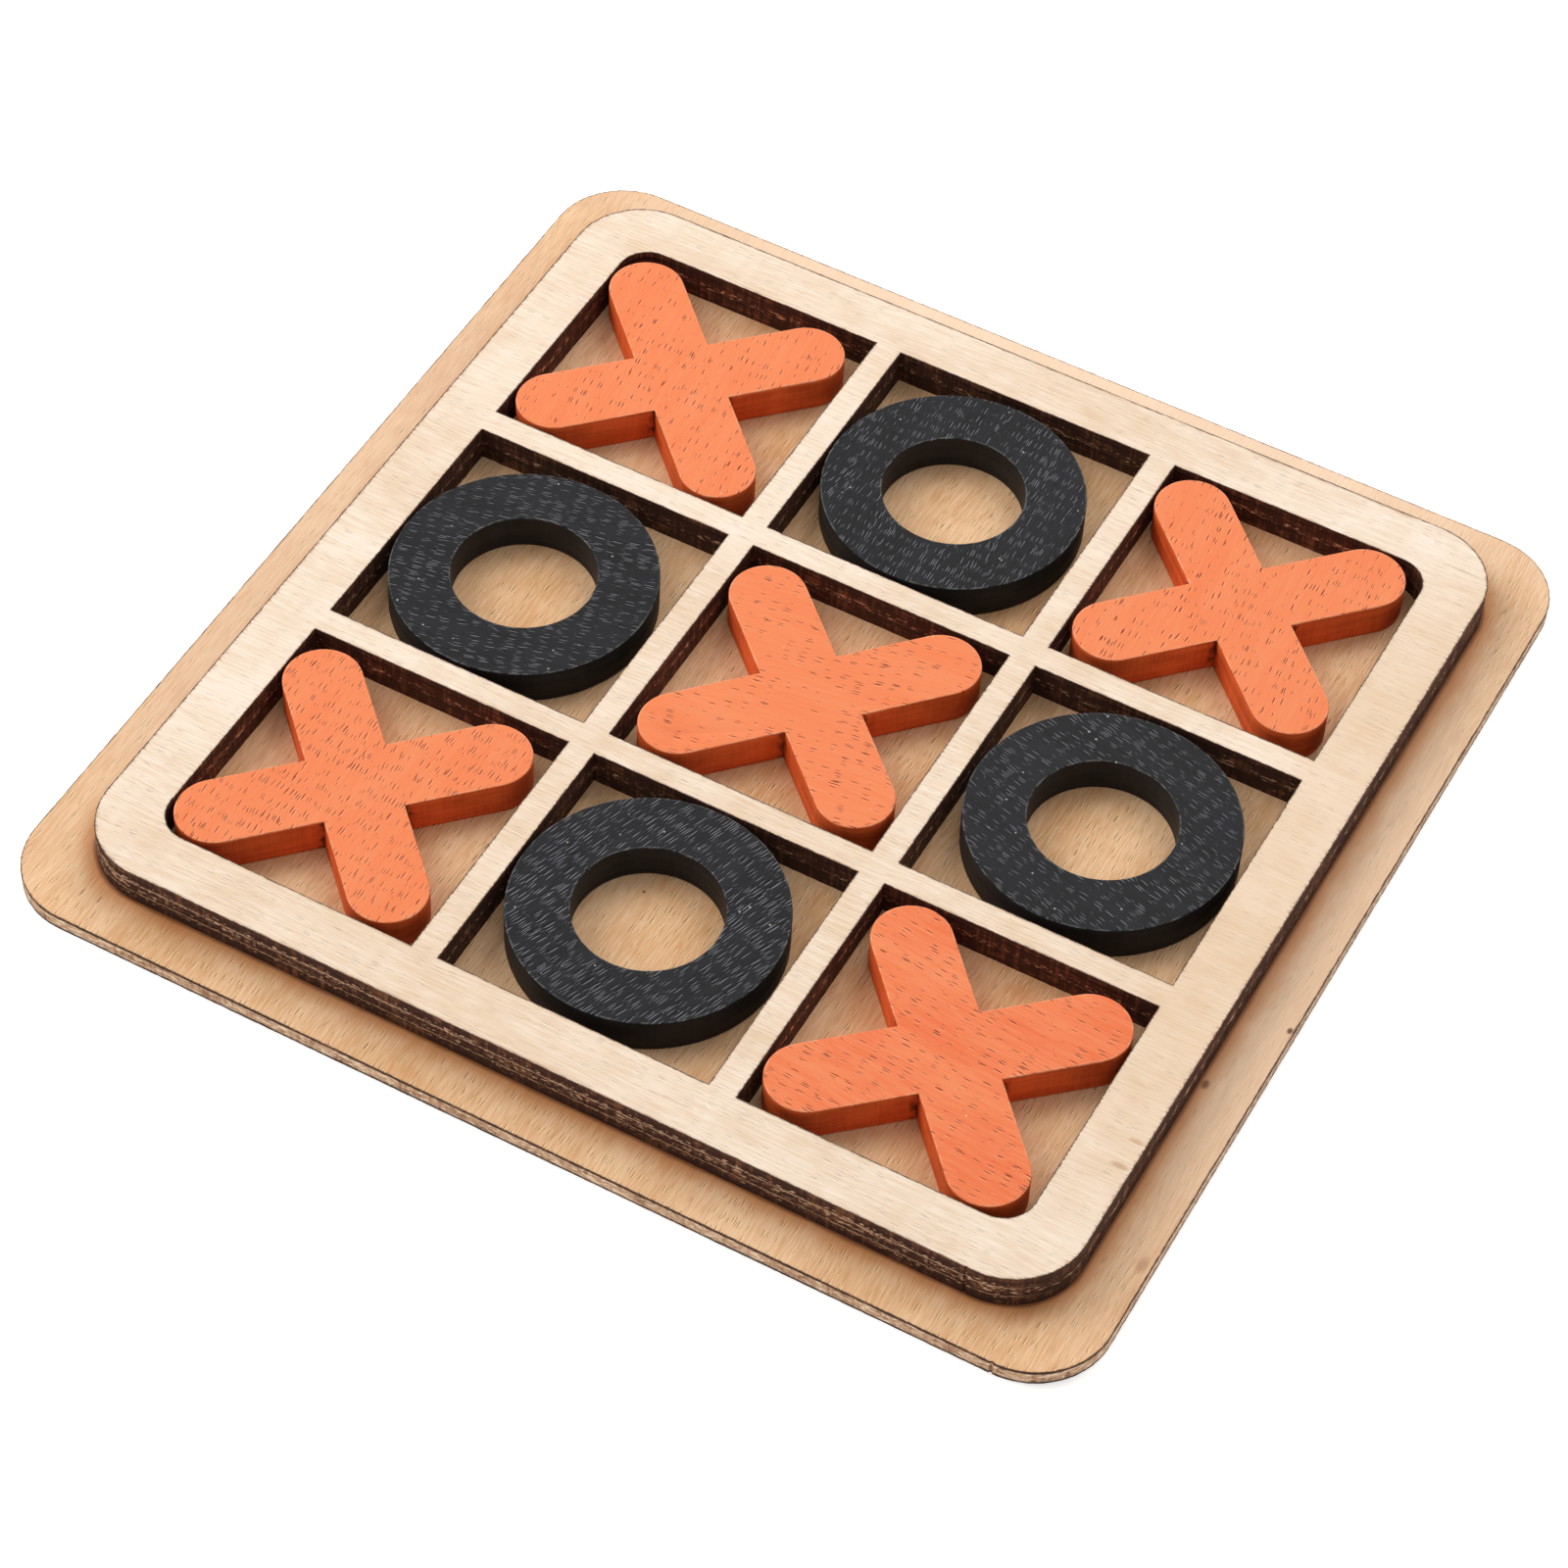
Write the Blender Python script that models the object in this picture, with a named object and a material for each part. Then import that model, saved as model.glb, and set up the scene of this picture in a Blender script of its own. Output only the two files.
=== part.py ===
"""Tic tac toe set: a stepped plywood board with nine open cells, five crosses and four rings.

Run it with blender --background --python part.py, or from Blender's text editor.
Metres, +Z up. The origin is the middle of the board's underside. X runs along the
front edge from left to right, and Y runs from the front edge to the back edge.
"""

import math
from typing import NamedTuple

import bmesh
import bpy

# The board: a thin base sheet with the cell grid glued on top of it.
BASE_SIDE = 0.1450
BASE_THICKNESS = 0.0022
BASE_CORNER_RADIUS = 0.0100
GRID_SIDE = 0.1316
GRID_CORNER_RADIUS = 0.0096
GRID_HEIGHT = 0.0050  # from the base's upper face to the grid's upper face
CELL_SIDE = 0.0363
BAR_WIDTH = 0.0037  # between two neighbouring cells
CELL_CORNER_RADIUS = 0.0042  # only at the outermost corner of each corner cell

# The pieces are as thick as the grid, so their tops are level with it at rest.
PIECE_HEIGHT = GRID_HEIGHT
CROSS_SPAN = 0.0442  # from tip to tip along one bar of the cross
CROSS_ARM_WIDTH = 0.0100
RING_DIAMETER = 0.0342
RING_HOLE_DIAMETER = 0.0185
PIECE_EDGE_CHAMFER = 0.00025

# Solids that rest on each other keep this gap, and their height loses it below.
REST_GAP = 0.0003
REST_LEVEL = BASE_THICKNESS + REST_GAP

CELL_PITCH = CELL_SIDE + BAR_WIDTH
CORNER_STEPS = 6
TIP_STEPS = 12
RING_STEPS = 48
SMOOTH_ANGLE = math.radians(30.0)

COLUMN_NAMES = {-1: "left", 0: "middle", 1: "right"}
ROW_NAMES = {-1: "front", 0: "middle", 1: "back"}


class Finish(NamedTuple):
    """The colour and roughness of one finish, as a Principled BSDF takes them."""

    name: str
    colour: tuple[float, float, float]
    roughness: float


BASE_PLYWOOD = Finish("base_plywood", (0.72, 0.51, 0.34), 0.62)
GRID_PLYWOOD = Finish("grid_plywood", (0.86, 0.72, 0.55), 0.60)
ORANGE_PAINT = Finish("orange_painted_wood", (0.85, 0.20, 0.06), 0.55)
BLACK_PAINT = Finish("black_painted_wood", (0.025, 0.027, 0.030), 0.50)


class Piece(NamedTuple):
    """One playing piece and how it lies in its cell.

    column and row are -1, 0 or 1 from the middle cell. shift is in metres from the
    cell's centre, and turn is in degrees, anticlockwise from above.
    """

    name: str
    column: int
    row: int
    shift: tuple[float, float]
    turn: float


CROSSES = (
    Piece("x_piece_front_left", -1, -1, (-0.00075, -0.00040), 0.3),
    Piece("x_piece_front_right", 1, -1, (0.0, -0.00010), -2.7),
    Piece("x_piece_center", 0, 0, (-0.00010, 0.00010), 1.6),
    Piece("x_piece_back_left", -1, 1, (-0.00075, -0.00045), 0.1),
    Piece("x_piece_back_right", 1, 1, (-0.00065, 0.00065), 0.7),
)
RINGS = (
    Piece("o_piece_front", 0, -1, (-0.00060, 0.00070), 0.0),
    Piece("o_piece_left", -1, 0, (-0.00075, -0.00050), 0.0),
    Piece("o_piece_right", 1, 0, (0.0, 0.00030), 0.0),
    Piece("o_piece_back", 0, 1, (-0.00075, -0.00035), 0.0),
)


def clear_scene():
    """Remove every object that the scene starts with."""
    for obj in list(bpy.data.objects):
        bpy.data.objects.remove(obj, do_unlink=True)


def make_material(finish):
    """Make the Principled BSDF material of a finish."""
    material = bpy.data.materials.new(finish.name)
    material.use_nodes = True
    shader = material.node_tree.nodes["Principled BSDF"]
    shader.inputs["Base Color"].default_value = (*finish.colour, 1.0)
    shader.inputs["Roughness"].default_value = finish.roughness
    shader.inputs["Metallic"].default_value = 0.0
    return material


def add_empty(name, location, parent=None):
    """Add an empty that places what is parented to it."""
    empty = bpy.data.objects.new(name, None)
    empty.empty_display_size = CELL_SIDE / 4
    empty.location = location
    empty.parent = parent
    bpy.context.scene.collection.objects.link(empty)
    return empty


def add_object(name, shape, parent, material=None):
    """Turn a finished bmesh into a named object under its parent."""
    mesh = bpy.data.meshes.new(name)
    bmesh.ops.recalc_face_normals(shape, faces=shape.faces)
    shape.to_mesh(mesh)
    shape.free()
    mesh.shade_smooth()
    mesh.set_sharp_from_angle(angle=SMOOTH_ANGLE)
    if material:
        mesh.materials.append(material)
    obj = bpy.data.objects.new(name, mesh)
    obj.parent = parent
    bpy.context.scene.collection.objects.link(obj)
    return obj


def is_upright(edge):
    """Whether an edge runs straight up."""
    start, end = (vert.co for vert in edge.verts)
    return (end - start).xy.length < REST_GAP / 100


def add_block(shape, side, bottom, top, centre=(0.0, 0.0)):
    """Add a square block to a bmesh and return its four upright edges."""
    verts = bmesh.ops.create_cube(shape, size=1.0)["verts"]
    bmesh.ops.scale(shape, vec=(side, side, top - bottom), verts=verts)
    bmesh.ops.translate(shape, vec=(*centre, (bottom + top) / 2), verts=verts)
    edges = {edge for vert in verts for edge in vert.link_edges}
    return [edge for edge in edges if is_upright(edge)]


def round_edges(shape, edges, radius, steps=CORNER_STEPS):
    """Round edges to a radius, or chamfer them in a single step."""
    bmesh.ops.bevel(
        shape,
        geom=edges,
        offset=radius,
        offset_type="OFFSET",
        segments=steps,
        profile=0.5,
        affect="EDGES",
        clamp_overlap=True,
    )


def add_base_board(parent, material):
    """The base: a square sheet with round corners."""
    shape = bmesh.new()
    corners = add_block(shape, BASE_SIDE, 0.0, BASE_THICKNESS)
    round_edges(shape, corners, BASE_CORNER_RADIUS)
    return add_object("base_board", shape, parent, material)


def add_cell_cutter(parent):
    """The nine cells as blocks, taller than the grid, to be cut out of it."""
    shape = bmesh.new()
    bottom = -BAR_WIDTH
    top = GRID_HEIGHT + BAR_WIDTH
    outermost = []
    for column in COLUMN_NAMES:
        for row in ROW_NAMES:
            centre = (column * CELL_PITCH, row * CELL_PITCH)
            uprights = add_block(shape, CELL_SIDE, bottom, top, centre)
            if column and row:
                outermost.append(max(uprights, key=lambda edge: edge.verts[0].co.xy.length))
    round_edges(shape, outermost, CELL_CORNER_RADIUS)
    cutter = add_object("cell_cutter", shape, parent)
    cutter.hide_render = True
    cutter.display_type = "WIRE"
    return cutter


def add_grid_frame(parent, material):
    """The grid: a thick square sheet with round corners and nine square cells."""
    shape = bmesh.new()
    corners = add_block(shape, GRID_SIDE, 0.0, GRID_HEIGHT - REST_GAP)
    round_edges(shape, corners, GRID_CORNER_RADIUS)
    grid = add_object("grid_frame", shape, parent, material)
    cells = grid.modifiers.new("cells", "BOOLEAN")
    cells.operation = "DIFFERENCE"
    cells.solver = "EXACT"
    cells.object = add_cell_cutter(parent)
    return grid


def cross_outline():
    """The cross from above: a half round at each arm's tip and a sharp inner corner between arms."""
    half_width = CROSS_ARM_WIDTH / 2
    tip_distance = CROSS_SPAN / 2 - half_width
    corner_distance = half_width / math.sin(math.pi / 4)
    points = []
    for arm in range(4):
        direction = math.radians(45 + 90 * arm)
        for step in range(TIP_STEPS + 1):
            angle = direction - math.pi / 2 + math.pi * step / TIP_STEPS
            points.append((
                tip_distance * math.cos(direction) + half_width * math.cos(angle),
                tip_distance * math.sin(direction) + half_width * math.sin(angle),
            ))
        inner = direction + math.pi / 4
        points.append((corner_distance * math.cos(inner), corner_distance * math.sin(inner)))
    return points


def cross_shape():
    """A cross: its outline raised to the piece's height, with the upper and lower rims chamfered."""
    shape = bmesh.new()
    verts = [shape.verts.new((x, y, 0.0)) for x, y in cross_outline()]
    underside = shape.faces.new(verts)
    raised = bmesh.ops.extrude_face_region(shape, geom=[underside], use_keep_orig=True)
    lifted = [item for item in raised["geom"] if isinstance(item, bmesh.types.BMVert)]
    bmesh.ops.translate(shape, vec=(0.0, 0.0, PIECE_HEIGHT - REST_GAP), verts=lifted)
    rims = [edge for edge in shape.edges if not is_upright(edge)]
    round_edges(shape, rims, PIECE_EDGE_CHAMFER, steps=1)
    return shape


def ring_shape():
    """A ring: its chamfered rectangular section spun once round the upright axis."""
    inner = RING_HOLE_DIAMETER / 2
    outer = RING_DIAMETER / 2
    height = PIECE_HEIGHT - REST_GAP
    cut = PIECE_EDGE_CHAMFER
    section = (
        (inner, cut), (inner + cut, 0.0), (outer - cut, 0.0), (outer, cut),
        (outer, height - cut), (outer - cut, height), (inner + cut, height), (inner, height - cut),
    )
    shape = bmesh.new()
    verts = [shape.verts.new((radius, 0.0, z)) for radius, z in section]
    edges = [shape.edges.new((verts[index - 1], verts[index])) for index in range(len(verts))]
    bmesh.ops.spin(
        shape,
        geom=verts + edges,
        cent=(0.0, 0.0, 0.0),
        axis=(0.0, 0.0, 1.0),
        angle=2 * math.pi,
        steps=RING_STEPS,
        use_merge=True,
    )
    return shape


def add_cells(parent):
    """One empty at the centre of each cell's floor, by column and row."""
    cells = {}
    for column, column_name in COLUMN_NAMES.items():
        for row, row_name in ROW_NAMES.items():
            location = (column * CELL_PITCH, row * CELL_PITCH, REST_LEVEL)
            cells[column, row] = add_empty(f"cell_{row_name}_{column_name}", location, parent)
    return cells


def add_pieces(pieces, make_shape, cells, material):
    """One object for each piece, with its origin at its own centre, where it lies in its cell."""
    for piece in pieces:
        obj = add_object(piece.name, make_shape(), cells[piece.column, piece.row], material)
        obj.location = (*piece.shift, 0.0)
        obj.rotation_euler = (0.0, 0.0, math.radians(piece.turn))


def build():
    """Build the whole set."""
    clear_scene()
    board = add_empty("board", (0.0, 0.0, 0.0))
    grid_level = add_empty("grid_level", (0.0, 0.0, REST_LEVEL), board)
    add_base_board(board, make_material(BASE_PLYWOOD))
    add_grid_frame(grid_level, make_material(GRID_PLYWOOD))
    cells = add_cells(board)
    add_pieces(CROSSES, cross_shape, cells, make_material(ORANGE_PAINT))
    add_pieces(RINGS, ring_shape, cells, make_material(BLACK_PAINT))


build()
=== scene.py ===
"""The looks of a plywood tic tac toe set: a laser-cut board, painted crosses and painted rings.

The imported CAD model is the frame. Its plain solids are replaced by the veneers of the two
plywood sheets and by painted pieces with softened rims, laser-cut walls and wood grain.
Metres, +Z up, X along the board's front edge, Y from the front edge to the back edge.
"""

import logging
import math
from collections.abc import Callable, Iterator
from contextlib import contextmanager
from dataclasses import dataclass, field, replace
from enum import Enum

import bmesh
import bpy
from bpy.types import Material, Node, NodeSocket, NodeTree, Object
from mathutils import Matrix, Vector


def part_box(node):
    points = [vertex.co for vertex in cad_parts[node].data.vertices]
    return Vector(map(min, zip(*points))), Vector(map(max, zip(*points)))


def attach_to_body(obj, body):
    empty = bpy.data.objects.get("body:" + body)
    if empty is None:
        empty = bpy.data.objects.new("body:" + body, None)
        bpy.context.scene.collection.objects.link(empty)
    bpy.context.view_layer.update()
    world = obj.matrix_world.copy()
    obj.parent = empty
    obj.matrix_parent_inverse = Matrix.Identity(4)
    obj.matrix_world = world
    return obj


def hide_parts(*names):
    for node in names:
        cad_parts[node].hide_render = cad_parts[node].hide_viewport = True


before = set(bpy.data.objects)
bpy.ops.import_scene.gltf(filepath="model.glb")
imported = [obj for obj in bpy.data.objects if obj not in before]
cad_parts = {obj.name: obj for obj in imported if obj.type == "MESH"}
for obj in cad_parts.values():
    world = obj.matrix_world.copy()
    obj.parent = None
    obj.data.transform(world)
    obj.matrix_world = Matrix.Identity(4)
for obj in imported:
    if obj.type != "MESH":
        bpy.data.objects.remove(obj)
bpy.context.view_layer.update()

LOG = logging.getLogger("tic_tac_toe_set")

MM = 0.001
HAIR = 0.001 * MM  # a length under which two points are the same
UP = Vector((0.0, 0.0, 1.0))
QUARTERS = [Matrix.Rotation(turn * math.pi / 2, 3, "Z") @ Vector((1.0, 0.0, 0.0))
            for turn in range(4)]  # the four directions of a cross's arms before its turn
WALL_TURN = math.radians(70.0)  # a face that leans at least this far from level is a wall
WALL_LEAN = math.sin(math.radians(10.0))  # how far a laser-cut wall may lean from upright
ROUGH_LEAN = 0.2  # the same for the walls that the laser roughened
SMOOTH_TURN = math.radians(35.0)  # a softer turn between two faces is shaded smooth


class Part(Enum):
    """What a selection in edit mode is made of."""

    EDGES = "edges"
    FACES = "faces"


class Grain(Enum):
    """Which way the fibres of a veneer run on the board, in degrees from the front edge."""

    ALONG_FRONT = 0.0
    FRONT_TO_BACK = 90.0


class Face(Enum):
    """The material slots of a wooden piece."""

    FLAT = 0
    CUT = 1


# ---------------------------------------------------------------------------
# Modelling moves
# ---------------------------------------------------------------------------


def pick_only(obj: Object) -> None:
    """Make an object the only selected one, and the active one.

    Args:
        obj: The object to work on.
    """
    bpy.ops.object.select_all(action="DESELECT")
    obj.select_set(True)
    bpy.context.view_layer.objects.active = obj


@contextmanager
def editing(obj: Object) -> Iterator[None]:
    """Hold an object in edit mode, with nothing selected at the start.

    Args:
        obj: The mesh object to edit.

    Returns:
        A context in which mesh operators act on the object.
    """
    pick_only(obj)
    bpy.ops.object.mode_set(mode="EDIT")
    bpy.ops.mesh.select_mode(type="VERT")
    bpy.ops.mesh.select_all(action="DESELECT")
    yield
    bpy.ops.object.mode_set(mode="OBJECT")


def select(obj: Object, part: Part, wanted: Callable[..., bool]) -> int:
    """Select only the edges or faces that pass a test, in edit mode.

    Args:
        obj: The object in edit mode.
        part: What to select.
        wanted: Takes a bmesh element and says whether it is selected.

    Returns:
        How many elements are selected.
    """
    bpy.ops.mesh.select_mode(type=part.name.removesuffix("S"))
    bpy.ops.mesh.select_all(action="DESELECT")
    shape = bmesh.from_edit_mesh(obj.data)
    found = [item for item in getattr(shape, part.value) if wanted(item)]
    for item in found:
        item.select_set(True)
    shape.select_flush_mode()
    bmesh.update_edit_mesh(obj.data)
    return len(found)


def apply_place(obj: Object) -> None:
    """Put an object's place, turn and scale into its mesh, so that it sits at the origin."""
    pick_only(obj)
    bpy.ops.object.transform_apply(location=True, rotation=True, scale=True)


def add_block(name: str, size: tuple[float, float], bottom: float, top: float,
              centre: tuple[float, float] = (0.0, 0.0)) -> Object:
    """Add a rectangular block between two heights.

    Args:
        name: The new object's name.
        size: Its width along X and its depth along Y.
        bottom: The height of its underside.
        top: The height of its upper face.
        centre: The middle of the block from above.

    Returns:
        The block, with its place in its mesh.
    """
    bpy.ops.mesh.primitive_cube_add(
        size=1.0,
        location=(*centre, (bottom + top) / 2),
        scale=(*size, top - bottom),
    )
    block = bpy.context.active_object
    block.name = block.data.name = name
    apply_place(block)
    return block


def is_upright(edge: bmesh.types.BMEdge) -> bool:
    """Whether an edge runs straight up."""
    start, end = (vert.co for vert in edge.verts)
    return (end - start).xy.length < HAIR < abs(end.z - start.z)


def is_level(edge: bmesh.types.BMEdge) -> bool:
    """Whether an edge runs at one height."""
    start, end = (vert.co for vert in edge.verts)
    return abs(end.z - start.z) < HAIR


def is_wall(face: bmesh.types.BMFace) -> bool:
    """Whether a face stands upright."""
    return abs(face.normal.z) < WALL_LEAN


def is_flat(face: bmesh.types.BMFace) -> bool:
    """Whether a face is part of the upper or the lower side."""
    return abs(face.normal.z) > 0.9


def is_wall_edge(edge: bmesh.types.BMEdge) -> bool:
    """Whether an edge belongs to an upright face."""
    return any(is_wall(face) for face in edge.link_faces)


def modify(obj: Object, kind: str, **settings: object) -> None:
    """Add a modifier to an object and apply it.

    Args:
        obj: The object to change.
        kind: The modifier's type.
        settings: Its properties by name.
    """
    modifier = obj.modifiers.new(kind.lower(), kind)
    for name, value in settings.items():
        setattr(modifier, name, value)
    pick_only(obj)
    bpy.ops.object.modifier_apply(modifier=modifier.name)


def copy_piece(source: Object, name: str) -> Object:
    """Copy a finished shape, mesh and all.

    Args:
        source: The shape to copy.
        name: The copy's name.

    Returns:
        The copy, with its own mesh.
    """
    pick_only(source)
    bpy.ops.object.duplicate(linked=False)
    copy = bpy.context.active_object
    copy.name = copy.data.name = name
    return copy


def discard(obj: Object) -> None:
    """Delete a shape that was only needed on the way."""
    bpy.data.objects.remove(obj, do_unlink=True)


def shorten_wall_edges(obj: Object, longest: float) -> None:
    """Halve the level edges of the walls until none is longer than a given length.

    Args:
        obj: The object, in edit mode.
        longest: The greatest length left.
    """
    def too_long(edge: bmesh.types.BMEdge) -> bool:
        """Whether a wall's level edge is still too long."""
        return is_level(edge) and is_wall_edge(edge) and edge.calc_length() > longest

    while select(obj, Part.EDGES, too_long):
        bpy.ops.mesh.subdivide(number_cuts=1)


@dataclass(frozen=True)
class LaserRoughness:
    """How unevenly a laser burns a wall: a fine ragged shift of the wall's points."""

    depth: float = 0.10 * MM
    grit: float = 0.55 * MM

    def shift(self, obj: Object) -> None:
        """Shift the points of an object's walls sideways by a fine noise.

        Args:
            obj: A piece whose walls have short edges.
        """
        walls = obj.vertex_groups.new(name="walls")
        upright = {
            index
            for polygon in obj.data.polygons
            if abs(polygon.normal.z) < ROUGH_LEAN
            for index in polygon.vertices
        }
        walls.add(sorted(upright), 1.0, "REPLACE")
        for axis, scale in (("X", 1.0), ("Y", 1.3)):
            noise = bpy.data.textures.new(f"{obj.name}_{axis}", "CLOUDS")
            noise.noise_scale = self.grit * scale
            noise.noise_depth = 1
            modify(
                obj, "DISPLACE", texture=noise, texture_coords="LOCAL", direction=axis,
                mid_level=0.5, strength=self.depth, vertex_group=walls.name,
            )
            bpy.data.textures.remove(noise)
        obj.vertex_groups.clear()


def dress(obj: Object, flat: Material, cut: Material) -> None:
    """Give a piece its two finishes: one on the flat faces and one on the cut walls.

    Args:
        obj: The finished piece.
        flat: The material of the upper and lower faces.
        cut: The material of the walls.
    """
    obj.data.materials.clear()
    obj.data.materials.append(flat)
    obj.data.materials.append(cut)
    for polygon in obj.data.polygons:
        standing = abs(polygon.normal.z) < math.cos(WALL_TURN)
        polygon.material_index = (Face.CUT if standing else Face.FLAT).value
    pick_only(obj)
    bpy.ops.object.shade_smooth_by_angle(angle=SMOOTH_TURN)


# ---------------------------------------------------------------------------
# Finishes
# ---------------------------------------------------------------------------


def linear(colour: str) -> tuple[float, float, float, float]:
    """Turn an sRGB hex colour to linear light.

    Args:
        colour: Six hex digits after a #.

    Returns:
        Red, green, blue and an alpha of 1.
    """
    channels = [int(colour[start:start + 2], 16) / 255 for start in (1, 3, 5)]
    return (*(c / 12.92 if c <= 0.04045 else ((c + 0.055) / 1.055) ** 2.4 for c in channels), 1.0)


def add_node(tree: NodeTree, kind: str, inputs: dict | tuple = (), **settings: object) -> Node:
    """Add a node with its settings, values and links.

    Args:
        tree: The material's node tree.
        kind: The node's type, without the word that all shader nodes start with.
        inputs: What each input takes, in the node's order or by name: a value, a socket, or
            a node, which stands for its first output.
        settings: The node's own properties.

    Returns:
        The new node.
    """
    node = tree.nodes.new(f"ShaderNode{kind}")
    for name, value in settings.items():
        setattr(node, name, value)
    for key, value in inputs.items() if isinstance(inputs, dict) else enumerate(inputs):
        if isinstance(key, int):
            socket = node.inputs[key]
        else:
            socket = next(s for s in node.inputs if s.name == key and s.enabled)
        if isinstance(value, Node):
            value = next(s for s in value.outputs if s.enabled)
        if isinstance(value, NodeSocket):
            tree.links.new(value, socket)
        else:
            socket.default_value = value
    return node


@dataclass(frozen=True)
class Sheen:
    """How matt a finish is, and how much it reflects."""

    roughness: float
    ior: float
    specular: float


SANDED = Sheen(0.68, 1.45, 0.25)  # bare sanded wood: matt, with a faint sheen at low angles
CHARRED = Sheen(0.78, 1.45, 0.25)  # char: duller still
PAINTED = Sheen(0.60, 1.50, 0.20)  # thin matt paint


@dataclass(frozen=True)
class Relief:
    """The fine relief of a finish: its height pattern, its strength and its depth."""

    height: Node
    strength: float
    depth: float


def lay_surface(tree: NodeTree, colour: Node, relief: Relief, sheen: Sheen) -> None:
    """Give a material its surface, from its colour, its relief and its sheen.

    Args:
        tree: The material's tree.
        colour: The node that gives the colour.
        relief: The fine relief.
        sheen: How matt the surface is.
    """
    bump = add_node(
        tree, "Bump",
        {"Height": relief.height, "Strength": relief.strength, "Distance": relief.depth},
    )
    shader = add_node(
        tree, "BsdfPrincipled",
        {"Base Color": colour, "Roughness": sheen.roughness, "IOR": sheen.ior,
         "Specular IOR Level": sheen.specular, "Normal": bump},
    )
    add_node(tree, "OutputMaterial", {"Surface": shader})


def lay_over(tree: NodeTree, under: Node, *layers: tuple[Node, float, str]) -> Node:
    """Lay colours over a surface, one on the other.

    Args:
        tree: The material's tree.
        under: The node that gives the colour below.
        layers: The mask, the strength and the hex colour of each layer, the lowest first.

    Returns:
        The node that gives the colour with all the layers.
    """
    for mask, strength, colour in layers:
        shown = add_node(tree, "Math", (mask, strength), operation="MULTIPLY")
        under = add_node(
            tree, "Mix", {"Factor": shown, "A": under, "B": linear(colour)}, data_type="RGBA",
        )
    return under


def tint(tree: NodeTree, under: Node | str, colour: str, pattern: Node,
         limits: tuple[float | Node, float | Node], strengths: tuple[float, float] = (0.0, 1.0),
         curve: str = "LINEAR") -> Node:
    """Lay a colour over another where a pattern asks for it.

    Args:
        tree: The material's tree.
        under: The colour below: a node, or a hex colour.
        colour: The hex colour on top.
        pattern: The node that gives the pattern.
        limits: The pattern's values between which the tint's strength changes.
        strengths: The tint's strength at those two values.
        curve: How the strength runs from one to the other.

    Returns:
        The node that gives the tinted colour.
    """
    shown = add_node(tree, "MapRange", (pattern, *limits, *strengths), interpolation_type=curve)
    below = linear(under) if isinstance(under, str) else under
    return add_node(
        tree, "Mix", {"Factor": shown, "A": below, "B": linear(colour)}, data_type="RGBA",
    )


def new_tree(name: str) -> tuple[Material, NodeTree]:
    """Start a material with an empty node tree.

    Args:
        name: The material's name.

    Returns:
        The material and its tree.
    """
    material = bpy.data.materials.new(name)
    material.use_nodes = True
    material.node_tree.nodes.clear()
    return material, material.node_tree


def grain_place(tree: NodeTree, degrees: float,
                origin: tuple[float, float, float] = (0.0, 0.0, 0.0)) -> Node:
    """Turn the object's own coordinates so that X runs along the grain.

    Args:
        tree: The material's tree.
        degrees: The grain's direction, anticlockwise from the board's front edge.
        origin: A shift that gives each sheet of wood a stretch of grain of its own.

    Returns:
        The node that gives the turned place.
    """
    coordinates = add_node(tree, "TexCoord")
    return add_node(
        tree, "Mapping",
        {"Vector": coordinates.outputs["Object"], "Location": origin,
         "Rotation": (0.0, 0.0, -math.radians(degrees))},
    )


@dataclass(frozen=True)
class Figure:
    """A soft pattern in the wood whose patches are stretched along the grain."""

    along: float
    across: float
    upward: float = 0.0
    detail: float = 2.0

    def draw(self, tree: NodeTree, place: Node) -> Node:
        """Draw the pattern.

        Args:
            tree: The material's tree.
            place: The node that gives the place, in metres, with X along the grain.

        Returns:
            The pattern, from 0 to 1 with most of it near 0.5.
        """
        size = (self.along, self.across, self.upward or self.across)
        stretch = add_node(
            tree, "VectorMath", (place, tuple(1 / length for length in size)),
            operation="MULTIPLY",
        )
        return add_node(
            tree, "TexNoise",
            {"Vector": stretch, "Scale": 1.0, "Detail": self.detail, "Roughness": 0.55},
        )


def let_grain_wander(tree: NodeTree, place: Node, most: float) -> Node:
    """Let the grain sway gently to each side on its way.

    Args:
        tree: The material's tree.
        place: The node that gives the place, in metres, with X along the grain.
        most: The most that the grain is off its line.

    Returns:
        The node that gives the place along the swaying grain.
    """
    sway = add_node(
        tree, "MapRange",
        {"Value": Figure(30 * MM, 12 * MM).draw(tree, place), "To Min": -most, "To Max": most},
    )
    across = add_node(tree, "CombineXYZ", {"Y": sway})
    return add_node(tree, "VectorMath", (place, across), operation="ADD")


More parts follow.
